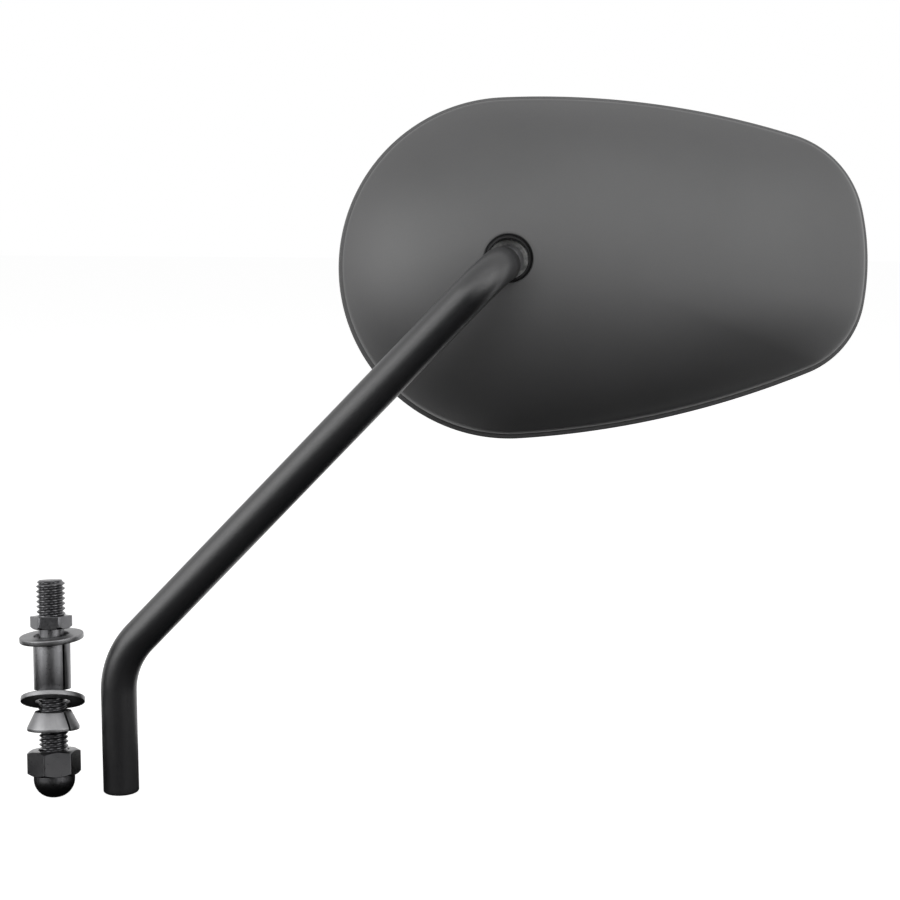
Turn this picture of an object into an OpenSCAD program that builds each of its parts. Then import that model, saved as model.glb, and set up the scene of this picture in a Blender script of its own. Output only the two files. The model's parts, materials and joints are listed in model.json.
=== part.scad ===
// Motorcycle mirror: a teardrop head on a bent round stem, with its loose mounting stud and hardware.
// Origin at the centre of the stem's lower end. +Z runs up the stem's lower leg, +Y into the head.

/* [Stem] */
// Diameter of the stem's rod
stem_d = 10; // [9:0.1:12]
// Height of the lower leg, up to the corner of its bend
leg_h = 38.2; // [32:0.1:60]
// Angle that the arm leans from the lower leg
arm_lean = 43.9; // [30:0.1:60]
// Length of the arm, from corner to corner
arm_l = 153.1; // [120:0.1:220]
// Middle radius of the lower bend
low_bend_r = 23; // [16:0.5:30]
// Middle radius of the bend into the head
top_bend_r = 11; // [9:0.5:13]
// Length from the upper corner to the ball's centre
reach_l = 30; // [29:0.5:40]
// Radius of the threaded hole in the stem's lower end, at the thread's crests
stem_hole_r = 3.3; // [2.8:0.05:3.8]
// Depth of the threaded hole
stem_hole_l = 18; // [12:0.5:24]
// Break of the stem's lower edge
stem_edge = 0.4; // [0.2:0.1:0.8]

/* [Ball joint] */
// Radius of the ball
ball_r = 6.5; // [6.2:0.05:6.8]
// Radius of the neck between the stem and the ball
neck_r = 3; // [2.8:0.05:3.2]
// Distance from the ball's centre to the end of the full rod
shoulder_l = 12.5; // [12.3:0.1:14]
// Radius of the spigot that the ball is pressed on
spigot_r = 2.4; // [1.8:0.05:2.6]
// Wall of the two seat liners round the ball
liner_t = 1.65; // [1.4:0.05:1.8]
// Clearance between the spherical faces
ball_gap = 0.05; // [0.02:0.01:0.08]
// Head's tilt about X in the pose that is modelled
head_tilt = -8.5; // [-9:0.1:9]
// Head's turn about Z in the pose that is modelled
head_pan = 7.8; // [-9:0.1:9]

/* [Head outline] */
// Centre of the big round lobe, across
lobe_x = 1; // [-2:0.1:3]
// Centre of the big round lobe, up
lobe_z = -0.1; // [-3:0.1:3]
// Radius of the big round lobe
lobe_r = 49.2; // [46:0.1:54]
// Centre of the upper corner at the narrow end, across
top_x = 74.8; // [65:0.1:85]
// Centre of the upper corner at the narrow end, up
top_z = 10.9; // [6:0.1:13]
// Radius of the upper corner at the narrow end
top_r = 28.5; // [24:0.5:31]
// Centre of the lower corner at the narrow end, across
low_x = 77.3; // [68:0.1:88]
// Centre of the lower corner at the narrow end, up
low_z = -6; // [-11:0.1:-4]
// Radius of the lower corner at the narrow end
low_r = 26.2; // [22:0.1:29]
// Radius of the long upper edge
top_edge_r = 245; // [180:1:400]
// Radius of the narrow end's edge
end_edge_r = 70; // [50:1:120]
// Radius of the long lower edge
low_edge_r = 264; // [180:1:400]

/* [Housing] */
// Depth from the ball's centre to the rim of the housing
rim_y = 17.5; // [17:0.1:20]
// Depth from the ball's centre to the top of the crown
crown_y = 11.5; // [11.3:0.1:13]
// Wall of the housing
wall_t = 2.4; // [2:0.1:2.6]
// Width of the lip round the rim
lip_w = 1.3; // [0.8:0.1:1.6]
// Thickness of the lip
lip_t = 2.2; // [1.6:0.1:3]
// Height of the plain wall between the lip and the shoulder
side_h = 2; // [1:0.1:2.5]
// Radius of the shoulder
shoulder_r = 4.5; // [3:0.1:6]
// Crown's highest point, across
crown_x = 11; // [4:0.5:20]
// Radius of the hole for the stem
hole_r = 6.7; // [6.5:0.05:7.2]
// Outer radius of the socket tower inside
tower_r = 10.9; // [10.4:0.1:11.4]
// Radius of the circle on which the clamp screws stand
screw_ring_r = 15.5; // [15:0.1:20]
// Radius of the screw posts
post_r = 3.3; // [2.8:0.1:3.6]
// Radius of the clamp screws' threads
screw_r = 1.5; // [1.2:0.05:1.7]
// Radius of the clamp screws' heads
screw_head_r = 2.8; // [2.4:0.1:3.2]

/* [Glass] */
// Width of the frame round the glass, from the outline to the gasket
frame_w = 3.2; // [3:0.1:4]
// Width of the gasket round the glass
gasket_w = 1.1; // [0.8:0.1:1.6]
// Thickness of the glass
glass_t = 2; // [1.6:0.1:2.2]
// Radius of the convex glass
glass_curve_r = 1200; // [900:50:2000]
// Thickness of the foam pad behind the glass
pad_t = 0.6; // [0.4:0.1:0.7]
// Thickness of the carrier plate
carrier_t = 1.4; // [1.2:0.1:1.5]

/* [Mounting hardware] */
// Radius of the stud's threads
stud_r = 4; // [3.9:0.01:4.1]
// Length of the whole set, from the dome of the nut to the top of the stud
set_h = 61; // [58.5:0.1:70]
// Across flats of the stud's hexagon
hex_af = 10.2; // [9.5:0.1:11]
// Thickness of the stud's hexagon
hex_t = 3.6; // [2.5:0.1:4]
// Height at which the stud's hexagon begins
hex_z = 47.3; // [47.1:0.1:48.5]
// Radius of the washers
washer_r = 8.9; // [8:0.1:9.5]
// Radius of the washers' holes
washer_hole_r = 4.85; // [4.75:0.05:5]
// Thickness of the washers
washer_t = 1.5; // [1.2:0.1:1.6]
// Radius of the split sleeve
sleeve_r = 5.15; // [5:0.05:5.3]
// Radius inside the split sleeve
sleeve_in_r = 4.25; // [4.2:0.01:4.4]
// Height of the split sleeve
sleeve_l = 12.8; // [8:0.1:12.9]
// Height at which the split sleeve begins
sleeve_z = 30.4; // [30.3:0.05:30.8]
// Width of the slit in the sleeve and in the taper washer
slit_w = 0.7; // [0.5:0.05:1]
// Radius of the taper washer at its narrow end
taper_top_r = 5; // [4.8:0.05:5.1]
// Radius of the taper washer at its wide end
taper_low_r = 7.25; // [6.5:0.05:7.5]
// Height of the taper washer
taper_h = 5.3; // [3:0.1:5.4]
// Height at which the taper washer begins
taper_z = 19; // [18.4:0.05:19.1]
// Across flats of the acorn nut
nut_af = 13; // [12:0.1:13.5]
// Height of the acorn nut's hexagon
nut_hex_h = 7; // [5:0.1:7.1]
// Radius of the acorn nut's dome
dome_r = 5.7; // [5.3:0.05:5.9]
// Height of the acorn nut's dome below its hexagon
dome_h = 6.4; // [6:0.05:6.7]
// Place of the set beside the stem, across
set_x = -16.7; // [-30:0.1:-15]
// Place of the set beside the stem, in depth
set_y = -8.2; // [-15:0.1:10]

/* [Hidden] */
$fn = 48;

eps = 0.01;
fit_gap = 0.05;
hair = 0.05;
overlap = 0.6;

// Stem
stem_r = stem_d / 2;
low_bend_cut = low_bend_r * tan(arm_lean / 2);
ball_at = [arm_l * sin(arm_lean), reach_l, leg_h + arm_l * cos(arm_lean)];
shoulder_y = reach_l - shoulder_l;

// Seat liners, measured as angles from the head's axis on the stem's side
liner_in_r = ball_r + ball_gap;
liner_out_r = liner_in_r + liner_t;
socket_r = liner_out_r + ball_gap;
seat_from = 42;
seat_to = 80;
rear_from = 103;
rear_to = 152;
bore_r = socket_r + fit_gap;

// Stack behind the ball, as depths from the ball's centre
cup_from_y = liner_out_r * 0.5;
cup_floor_t = 0.75;
cup_to_y = socket_r + cup_floor_t;
cup_hole_r = 3;
spring_t = 0.5;
spring_h = 0.85;
spring_out_r = bore_r - 0.8;
plate_y = cup_to_y + spring_h + 0.05;
plate_t = 1.3;
plate_hub_r = bore_r + 1.6;
plate_ear_r = screw_head_r + 0.9;
plate_hole_r = 2.6;
screw_head_t = 1.1;
screw_l = 8;
tower_y = plate_y - 0.2;
web_t = 1.4;
dust_y = -10.6;
dust_l = 1.7;
dust_in_r = hole_r - 1.15;
dust_roll_w = 0.7;
dust_step_l = 0.8;
SCREW_ANGLES = [90, 210, 330];

// Head outline: three corner circles, held from outside by three long arcs
CORNERS = [[[lobe_x, lobe_z], lobe_r], [[low_x, low_z], low_r], [[top_x, top_z], top_r]];
EDGES = [low_edge_r, end_edge_r, top_edge_r];
CORNER_STEPS = [26, 8, 9];
EDGE_STEPS = [8, 5, 8];

// Housing section
crown_at = [crown_x, lobe_z];
turn_end = 42;
wall_y = rim_y - lip_t - side_h;
crown_inset = lip_w + shoulder_r * (1 - cos(turn_end));
crown_base_y = wall_y - shoulder_r * sin(turn_end);
half_w = lobe_r - crown_inset;
crown_rise = crown_base_y + crown_y;
crown_curve_r = (half_w * half_w + crown_rise * crown_rise) / (2 * crown_rise);
crown_share = half_w / crown_curve_r;
crown_rings = 9;
ledge_y = 11.2;
ledge_w = 2.2;
inner_inset = frame_w + ledge_w + 0.4;
inner_base_y = ledge_y - 0.6;
inner_crown_y = crown_y - wall_t;
lip_edge = 0.4;

// Glass stack, as depths from the ball's centre
glass_at = [27, -1];
glass_reach = 90;
glass_y = rim_y - 0.2;
pad_y = glass_y - glass_t - fit_gap;
carrier_y = pad_y - pad_t - fit_gap;
glass_inset = frame_w + gasket_w + 2 * fit_gap;
carrier_rim_w = 1.6;
rib_t = 1.2;
RIBS_AT = [24, 44, 64];
pad_inset = glass_inset + 3.5;

// Mounting set
set_back = 8.3;
set_side = -2.4;
set_turn = 19.6;
set_lift = dome_r * (1 - cos(set_back) * cos(set_side));
upper_tilt = [6.5, -3.7, 0];
lower_tilt = [-20, 2.9, 0];
stud_hex_turn = -6.5;
nut_hex_turn = 8;
upper_washer_z = 44.9;
lower_washer_z = 27.4;
stud_low_z = 5.2;
thread_top_z = 28.6;
shank_r = stud_r - 0.4;
slit_angle = -52;
taper_foot_h = 0.9;
stud_point = 0.8;
hex_break = 0.8;

// A run of points along an arc, without its last point
function arc_points(c, r, a, b, n) =
    [for (i = [0 : n - 1]) c + r * [cos(a + (b - a) * i / n), sin(a + (b - a) * i / n)]];

// The angle b, turned on until it is past a
function past(a, b) = b < a ? past(a, b + 360) : b;

function heading(v) = atan2(v[1], v[0]);

// Centre of the arc of radius r that holds two circles from outside
function hug(c1, r1, c2, r2, r) =
    let (d = c2 - c1,
         l = norm(d),
         a = ((r - r1) * (r - r1) - (r - r2) * (r - r2) + l * l) / (2 * l),
         h = sqrt((r - r1) * (r - r1) - a * a))
    c1 + d * a / l + [-d[1], d[0]] * h / l;

EDGE_AT = [for (i = [0 : 2])
    let (p = CORNERS[i], q = CORNERS[(i + 1) % 3])
    hug(p[0], p[1], q[0], q[1], EDGES[i])];

// The head's outline, moved in by an even distance
function head_outline(inset) =
    [for (i = [0 : 2])
        let (c = CORNERS[i][0],
             from = heading(c - EDGE_AT[(i + 2) % 3]),
             to = past(from, heading(c - EDGE_AT[i])),
             next = past(to, heading(CORNERS[(i + 1) % 3][0] - EDGE_AT[i])))
        each concat(arc_points(c, CORNERS[i][1] - inset, from, to, CORNER_STEPS[i]),
                    arc_points(EDGE_AT[i], EDGES[i] - inset, to, next, EDGE_STEPS[i]))];

// One ring of the housing: the outline moved in and set at a depth
function ring(inset, y) = [for (p = head_outline(inset)) [p[0], y, p[1]]];

// Distance from the crown's top to an egg-shaped ring in the direction v
function egg_r(v, inset) =
    let (half_x = (v[0] < 0 ? lobe_r - lobe_x + crown_x : low_x + low_r - crown_x) - inset,
         half_z = lobe_r - inset)
    norm(v) / sqrt(pow(v[0] / half_x, 2) + pow(v[1] / half_z, 2));

// One ring of the crown, egg-shaped near the top and the outline moved in at share 1
function crown_ring(inset, share, y) =
    [for (p = head_outline(inset))
        let (v = p - crown_at,
             blend = pow(share, 1.5),
             r = share * (egg_r(v, inset) * (1 - blend) + norm(v) * blend),
             q = crown_at + v / norm(v) * r)
        [q[0], y, q[1]]];

// Depth of the crown, from its edge at share 1 to its top at share 0
function crown_depth(share, base_y, top_y) =
    let (sink = 1 - sqrt(1 - pow(crown_share * share, 2)),
         full = 1 - sqrt(1 - pow(crown_share, 2)))
    top_y + (base_y - top_y) * sink / full;

// A closed skin over rings of equal count, with a point at each end
module skin(first, rings, last) {
    n = len(rings[0]);
    m = len(rings);
    points = concat([first], [for (r = rings) each r], [last]);
    end = len(points) - 1;
    faces = concat(
        [for (i = [0 : n - 1]) [0, 1 + (i + 1) % n, 1 + i]],
        [for (k = [0 : m - 2], i = [0 : n - 1])
            let (a = 1 + k * n + i, b = 1 + k * n + (i + 1) % n)
            each [[a, b, b + n], [a, b + n, a + n]]],
        [for (i = [0 : n - 1]) [end, 1 + (m - 1) * n + i, 1 + (m - 1) * n + (i + 1) % n]]);
    polyhedron(points, faces, convexity = 6);
}

// Puts its children, drawn about the ball's centre, in the head's place
module in_head() translate(ball_at) rotate([head_tilt, 0, head_pan]) children();

// Puts its children, drawn along Z, on the head's axis towards the glass
module along_y(y = 0) translate([0, y, 0]) rotate([-90, 0, 0]) children();

// A flat plate with the head's outline, from one depth to another
module outline_plate(inset, from_y, to_y)
    translate([0, to_y, 0]) rotate([90, 0, 0]) linear_extrude(to_y - from_y) polygon(head_outline(inset));

// The disc under a convex surface, closed at its edge
module glass_solid(y, low_y)
    translate([glass_at[0], 0, glass_at[1]]) rotate([-90, 0, 0]) rotate_extrude($fn = 96)
        polygon(concat([[0, low_y], [glass_reach, low_y]],
            [for (i = [6 : -1 : 0]) let (r = glass_reach * i / 6) [r, y - r * r / (2 * glass_curve_r)]]));

// A spherical shell about the ball's centre, between two angles from the stem's side
module liner(from, to)
    rotate([90, 0, 0]) rotate_extrude($fn = 96) intersection() {
        difference() {
            circle(liner_out_r, $fn = 96);
            circle(liner_in_r, $fn = 96);
        }
        polygon(concat([[0, 0]], [for (a = [from, (from + to) / 2, to]) 3 * ball_r * [sin(a), cos(a)]]));
    }

// A bend of the rod about Z, a hair thinner than the straights that run into both its ends
module bend(r, angle) rotate_extrude(angle = angle) translate([r, 0]) circle(stem_r - hair);

module stem() color([0.06, 0.06, 0.065]) difference() {
    union() {
        cylinder(stem_edge, stem_r - stem_edge, stem_r);
        translate([0, 0, stem_edge]) cylinder(leg_h - low_bend_cut - stem_edge + overlap, r = stem_r);
        translate([low_bend_r, 0, leg_h - low_bend_cut]) rotate([90, 0, 0]) rotate([0, 0, 180 - arm_lean])
            bend(low_bend_r, arm_lean);
        translate([0, 0, leg_h]) rotate([0, arm_lean, 0]) arm();
        translate([ball_at[0], 0, ball_at[2]]) {
            along_y(shoulder_y - 1) cylinder(shoulder_l + 1 - ball_r * 0.7, r = neck_r);
            along_y(shoulder_y - 2) cylinder(shoulder_l + 2 + ball_r * 0.9, r = spigot_r);
        }
    }
    translate([0, 0, -eps]) cylinder(stem_hole_l + eps, r = stem_hole_r);
}

// The arm and the leg into the head, drawn from the lower corner with the arm along Z
module arm() {
    translate([0, 0, low_bend_cut - overlap])
        cylinder(arm_l - low_bend_cut - top_bend_r + 2 * overlap, r = stem_r);
    translate([0, top_bend_r, arm_l - top_bend_r]) rotate([90, 0, 90]) rotate([0, 0, 90])
        bend(top_bend_r, 90);
    translate([0, top_bend_r - overlap, arm_l]) along_y()
        cylinder(shoulder_y - top_bend_r + overlap, r = stem_r);
}

module ball() color([0.55, 0.55, 0.56]) translate(ball_at) along_y() rotate_extrude($fn = 96) difference() {
    intersection() {
        circle(ball_r, $fn = 96);
        translate([spigot_r + fit_gap / 2, -2 * ball_r]) square([2 * ball_r, 4 * ball_r]);
    }
    translate([0, -2 * ball_r]) square([neck_r + fit_gap, ball_r * 1.3 + fit_gap]);
}

module seat_ring() color([0.12, 0.12, 0.12]) in_head() liner(seat_from, seat_to);

module rear_liner() color([0.12, 0.12, 0.12]) in_head() liner(rear_from, rear_to);

// Places its children at each clamp screw, along the head's axis
module at_screws(y) for (a = SCREW_ANGLES)
    translate([screw_ring_r * cos(a), 0, screw_ring_r * sin(a)]) along_y(y) children();

// What stands inside the housing: the socket tower, the screw posts and the webs between them
module housing_inside() {
    along_y(-crown_y) cylinder(crown_y + tower_y, r = tower_r);
    at_screws(-crown_y) cylinder(crown_y + plate_y, r = post_r);
    for (a = SCREW_ANGLES) rotate([0, -a, 0]) translate([bore_r + 1, -crown_y, -web_t / 2])
        cube([screw_ring_r - bore_r - 2, crown_y + plate_y - 3, web_t]);
}

module housing() color([0.09, 0.09, 0.095]) in_head() difference() {
    outer_body();
    difference() {
        cavity();
        housing_inside();
    }
    along_y(-crown_y - 2) cylinder(crown_y + 2, r = hole_r);
    sphere(socket_r, $fn = 96);
    along_y() cylinder(plate_y + 1, r = bore_r);
    at_screws(plate_y - screw_l) cylinder(screw_l + 1, r = screw_r - 0.2);
}

// The housing's outside, from the crown over the shoulder to the lip, closed flat at the rim
module outer_body() {
    crown = [for (k = [1 : crown_rings]) let (share = k / crown_rings)
                crown_ring(crown_inset, share, crown_depth(share, crown_base_y, -crown_y))];
    shoulder = [for (t = [turn_end * 2 / 3, turn_end / 3, 0])
                   ring(lip_w + shoulder_r * (1 - cos(t)), wall_y - shoulder_r * sin(t))];
    lip = [ring(lip_w, rim_y - lip_t),
           ring(lip_w * 0.3, rim_y - lip_t),
           ring(0, rim_y - lip_t * 0.8),
           ring(0, rim_y - lip_edge),
           ring(lip_edge, rim_y)];
    skin([crown_at[0], -crown_y, crown_at[1]], concat(crown, shoulder, lip),
         [crown_at[0], rim_y, crown_at[1]]);
}

// The room inside: the crown's inside, the carrier's ledge and the pocket for the glass
module cavity() {
    steps = crown_rings - 2;
    crown = [for (k = [1 : steps]) let (share = k / steps)
                crown_ring(inner_inset, share, crown_depth(share, inner_base_y, -inner_crown_y))];
    pocket = [ring(frame_w + ledge_w, ledge_y),
              ring(frame_w, ledge_y),
              ring(frame_w, rim_y + 1)];
    skin([crown_at[0], -inner_crown_y, crown_at[1]], concat(crown, pocket),
         [crown_at[0], rim_y + 1, crown_at[1]]);
}

// Soft ring in the housing's hole, round the neck, with a rolled outer edge
module dust_ring() color([0.15, 0.15, 0.15]) in_head() along_y(dust_y) rotate_extrude($fn = 96)
    polygon([[dust_in_r, 0.3], [dust_in_r + 0.2, 0], [dust_in_r + 0.5, 0],
             [dust_in_r + dust_roll_w, 0.3], [dust_in_r + dust_roll_w, dust_step_l],
             [hole_r - fit_gap, dust_step_l], [hole_r - fit_gap, dust_l], [dust_in_r, dust_l]]);

module pressure_cup() color([0.12, 0.12, 0.12]) in_head() difference() {
    along_y(cup_from_y) cylinder(cup_to_y - cup_from_y, r = bore_r - fit_gap);
    sphere(socket_r, $fn = 96);
    along_y() cylinder(cup_to_y + 1, r = cup_hole_r);
}

// Conical spring washer between the pressure cup and the clamp plate
module spring_washer() color([0.4, 0.4, 0.42]) in_head() along_y(cup_to_y + 0.02) rotate_extrude($fn = 96)
    polygon([[cup_hole_r + 0.4, 0], [spring_out_r, spring_h - spring_t], [spring_out_r, spring_h],
             [cup_hole_r + 0.4, spring_t]]);

module clamp_plate() color([0.45, 0.45, 0.47]) in_head() along_y(plate_y)
    linear_extrude(plate_t) plate_shape();

// The clamp plate from the front: a hub with an ear for each screw
module plate_shape() difference() {
    union() {
        circle(plate_hub_r);
        for (a = SCREW_ANGLES) rotate(-a) {
            translate([screw_ring_r, 0]) circle(plate_ear_r);
            translate([0, -plate_ear_r]) square([screw_ring_r, 2 * plate_ear_r]);
        }
    }
    circle(plate_hole_r);
    for (a = SCREW_ANGLES) rotate(-a) translate([screw_ring_r, 0]) circle(screw_r + 0.2);
}

module clamp_screws() color([0.5, 0.5, 0.52]) in_head() {
    at_screws(plate_y + plate_t) difference() {
        union() {
            cylinder(screw_head_t * 0.5, r = screw_head_r);
            translate([0, 0, screw_head_t * 0.5])
                cylinder(screw_head_t * 0.5, screw_head_r, screw_head_r * 0.7);
        }
        for (a = [0, 90]) rotate([0, 0, a])
            translate([-screw_head_r * 0.5, -0.3, screw_head_t * 0.5])
                cube([screw_head_r, 0.6, screw_head_t]);
    }
    at_screws(plate_y + plate_t - screw_l + 1) cylinder(screw_l - 1 + eps, r = screw_r - 0.25);
}

// Carrier plate behind the glass, with a rim that stands on the housing's ledge and a grid of ribs
module glass_carrier() color([0.13, 0.13, 0.13]) in_head() union() {
    difference() {
        intersection() {
            outline_plate(glass_inset, ledge_y + fit_gap, rim_y);
            glass_solid(carrier_y, 0);
        }
        intersection() {
            outline_plate(glass_inset + carrier_rim_w, ledge_y - 1, rim_y);
            glass_solid(carrier_y - carrier_t, 0);
        }
    }
    for (x = RIBS_AT) intersection() {
        translate([x, ledge_y + 0.3, -lobe_r]) cube([rib_t, 3, 2 * lobe_r]);
        glass_solid(carrier_y - carrier_t / 2, 0);
        outline_plate(glass_inset + carrier_rim_w / 2, ledge_y, rim_y);
    }
}

module foam_pad() color([0.3, 0.3, 0.3]) in_head() intersection() {
    outline_plate(pad_inset, 5, rim_y);
    difference() {
        glass_solid(pad_y, 1);
        glass_solid(pad_y - pad_t, 0);
    }
}

module mirror_glass() color([0.75, 0.8, 0.85]) in_head() intersection() {
    outline_plate(glass_inset, 5, rim_y);
    difference() {
        glass_solid(glass_y, 1);
        glass_solid(glass_y - glass_t, 0);
    }
}

// Rubber strip between the glass and the housing's frame
module rim_gasket() color([0.08, 0.08, 0.08]) in_head() difference() {
    outline_plate(frame_w + fit_gap, ledge_y + fit_gap, rim_y - 0.3);
    outline_plate(frame_w + gasket_w + fit_gap, ledge_y - 1, rim_y);
}

// Puts its children, drawn about the set's own axis, in the set's place beside the stem
module in_set()
    translate([set_x, set_y, set_lift]) rotate([-set_back, set_side, 0]) rotate([0, 0, set_turn])
        children();

module hexagon(af, h) cylinder(h, r = af / 2 / cos(30), $fn = 6);

// A hexagon whose corners are turned off at one end or both
module chamfered_hexagon(af, h, low, top) intersection() {
    hexagon(af, h);
    union() {
        c = hex_break;
        wide = af / 2 / cos(30) + 0.05;
        narrow = af / 2 * 0.97;
        translate([0, 0, low ? c : 0]) cylinder(h - (low ? c : 0) - (top ? c : 0), r = wide);
        if (low) cylinder(c, narrow, wide);
        if (top) translate([0, 0, h - c]) cylinder(c, wide, narrow);
    }
}

module mount_stud() color([0.3, 0.3, 0.31]) in_set() {
    translate([0, 0, stud_low_z]) cylinder(thread_top_z - stud_low_z, r = stud_r);
    translate([0, 0, thread_top_z - eps]) cylinder(hex_z - thread_top_z + 2 * eps, r = shank_r);
    translate([0, 0, hex_z]) rotate([0, 0, stud_hex_turn]) chamfered_hexagon(hex_af, hex_t, true, false);
    translate([0, 0, hex_z + hex_t - eps]) cylinder(set_h - hex_z - hex_t - stud_point + eps, r = stud_r);
    translate([0, 0, set_h - stud_point]) cylinder(stud_point, stud_r, stud_r - stud_point);
}

// A flat washer about its own middle
module washer() difference() {
    translate([0, 0, -washer_t / 2]) cylinder(washer_t, r = washer_r);
    translate([0, 0, -washer_t]) cylinder(2 * washer_t, r = washer_hole_r);
}

module upper_washer() color([0.45, 0.45, 0.46]) in_set()
    translate([0, 0, upper_washer_z]) rotate(upper_tilt) washer();

module lower_washer() color([0.45, 0.45, 0.46]) in_set()
    translate([0, 0, lower_washer_z]) rotate(lower_tilt) washer();

module slit(z, h) rotate([0, 0, slit_angle])
    translate([0, -slit_w / 2, z - 1]) cube([washer_r, slit_w, h + 2]);

module split_sleeve() color([0.35, 0.35, 0.36]) in_set() difference() {
    translate([0, 0, sleeve_z]) cylinder(sleeve_l, r = sleeve_r);
    translate([0, 0, sleeve_z - 1]) cylinder(sleeve_l + 2, r = sleeve_in_r);
    slit(sleeve_z, sleeve_l);
}

module taper_washer() color([0.45, 0.45, 0.46]) in_set() difference() {
    union() {
        translate([0, 0, taper_z]) cylinder(taper_foot_h, r = taper_low_r);
        translate([0, 0, taper_z + taper_foot_h]) cylinder(taper_h - taper_foot_h, taper_low_r, taper_top_r);
    }
    translate([0, 0, taper_z - 1]) cylinder(taper_h + 2, r = sleeve_in_r);
    slit(taper_z, taper_h);
}

module acorn_nut() color([0.2, 0.2, 0.21]) in_set() difference() {
    union() {
        translate([0, 0, dome_h]) rotate([0, 0, nut_hex_turn])
            chamfered_hexagon(nut_af, nut_hex_h, true, true);
        translate([0, 0, dome_r]) cylinder(dome_h - dome_r + 0.5, r = dome_r);
        translate([0, 0, dome_r]) sphere(dome_r, $fn = 96);
    }
    translate([0, 0, stud_low_z - 1]) cylinder(dome_h + nut_hex_h, r = stud_r + fit_gap);
}

stem();
ball();
mount_stud();
upper_washer();
split_sleeve();
lower_washer();
taper_washer();
acorn_nut();
seat_ring();
rear_liner();
housing();
dust_ring();
pressure_cup();
spring_washer();
clamp_plate();
clamp_screws();
glass_carrier();
foam_pad();
mirror_glass();
rim_gasket();
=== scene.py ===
"""Looks of a motorcycle mirror: a teardrop head on a bent stem, and its loose mounting set."""

import json
import math

import bmesh
import bpy
import numpy as np
from mathutils import Matrix, Vector


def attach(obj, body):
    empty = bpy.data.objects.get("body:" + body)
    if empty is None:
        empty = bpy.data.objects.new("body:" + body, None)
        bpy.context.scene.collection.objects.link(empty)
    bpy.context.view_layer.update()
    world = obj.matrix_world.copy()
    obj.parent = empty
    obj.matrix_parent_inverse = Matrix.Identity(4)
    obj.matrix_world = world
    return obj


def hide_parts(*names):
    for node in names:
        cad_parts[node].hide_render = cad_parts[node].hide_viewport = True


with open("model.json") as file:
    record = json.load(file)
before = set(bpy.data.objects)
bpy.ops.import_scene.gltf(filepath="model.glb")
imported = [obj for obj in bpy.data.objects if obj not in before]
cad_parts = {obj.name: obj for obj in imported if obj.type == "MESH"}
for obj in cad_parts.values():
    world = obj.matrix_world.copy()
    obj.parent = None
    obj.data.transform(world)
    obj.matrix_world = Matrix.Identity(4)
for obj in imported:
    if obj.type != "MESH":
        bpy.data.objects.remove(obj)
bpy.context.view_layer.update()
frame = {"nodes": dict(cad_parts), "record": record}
MM = 0.001
TINY_R = 0.02  # stands for zero where a turned piece closes at its axis
FIT_GAP = 0.05

# Stem, in millimetres
STEM_R, STEM_EDGE = 5.0, 0.4
STEM_HOLE_R, STEM_HOLE_L = 3.3, 18.0
HOLE_THREAD_L, HOLE_THREAD_Z, HOLE_THREAD_DEPTH, HOLE_THREAD_FADE = 9.0, 0.55, 0.6, 1.5
LEG_H, ARM_LEAN, ARM_L = 38.2, math.radians(43.9), 153.1
LOW_BEND_R, TOP_BEND_R = 23.0, 11.0
BALL_AT = (ARM_L * math.sin(ARM_LEAN), 30.0, LEG_H + ARM_L * math.cos(ARM_LEAN))
BALL_R, NECK_R, SPIGOT_R, SHOULDER_L = 6.5, 3.0, 2.4, 12.5

# Head, in millimetres: x and z lie in the plane of its rim, y runs from the crown to the glass,
# and the ball is at 0
HEAD_PAN, HEAD_TILT = 7.8, -8.5
SOCKET_R, BORE_R = 8.25, 8.3
# the outline's corner circles, as centre and radius, and the radii of the wide arcs between them
CORNERS = [((1.0, -0.1), 49.2), ((77.3, -6.0), 26.2), ((74.8, 10.9), 28.5)]
EDGES = [264.0, 70.0, 245.0]
RIM_Y, CROWN_Y, WALL_T = 17.5, 11.5, 2.4
LIP_W, LIP_T, SIDE_H, SHOULDER_R = 1.3, 2.2, 2.0, 4.5
CROWN_AT = (11.0, -0.1)
# the crown follows x^power + y^power = 1 from x = 0 as far as x = reach
CROWN_REACH, CROWN_POWER = 0.8, 2.4
TURN_END = math.radians(42)
HOLE_R, HOLE_EDGE_R, HOLE_END_Y, TOWER_R = 6.7, 0.35, -6.0, 10.9
FRAME_W, GASKET_W, LEDGE_Y, LEDGE_W = 3.2, 1.1, 11.2, 2.2
INNER_INSET = FRAME_W + LEDGE_W + 0.4
DUST_R, DUST_Y, DUST_ROLL_Y, DUST_STEP_Y, DUST_END_Y = HOLE_R - 1.15, -10.6, -10.3, -9.8, -8.9
GLASS_AT, GLASS_CURVE_R, GLASS_T, GLASS_BEVEL = (27.0, -1.0), 1200.0, 2.0, 0.25
GLASS_REACH = 40.0  # about how far the glass's edge is from its middle
PLATE_Y, SCREW_RING_R, POST_R, POST_END_Y = 9.9, 15.5, 3.3, -7.0
SCREW_HOLE_R, SCREW_HOLE_L = 1.3, 8

# Loose set, in millimetres: z runs up the stud from the nut's dome
SET_AT, SET_LEAN_X, SET_LEAN_Y, SET_TURN = (-16.7, -8.2), -8.3, -2.4, 19.6
SET_H, STUD_R, SHANK_R, STUD_LOW_Z, THREAD_TOP_Z = 61.0, 4.0, 3.6, 5.2, 28.6
UPPER_PITCH, LOWER_PITCH, UPPER_DEPTH, LOWER_DEPTH = 1.41, 1.25, 0.72, 0.62
THREAD_CREST, THREAD_ROOT = 0.14, 0.88  # where the flank starts and ends, as shares of half a pitch
HEX_AF, HEX_T, HEX_Z, HEX_TURN = 10.2, 3.6, 47.3, math.radians(-6.5)
HEX_CORNER_R, HEX_TURNED_OFF = 0.35, 0.8
NUT_AF, NUT_HEX_H, NUT_TURN = 13.0, 7.0, math.radians(8)
DOME_R, DOME_H, DOME_FLAT_R = 5.7, 6.4, 0.5
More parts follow.
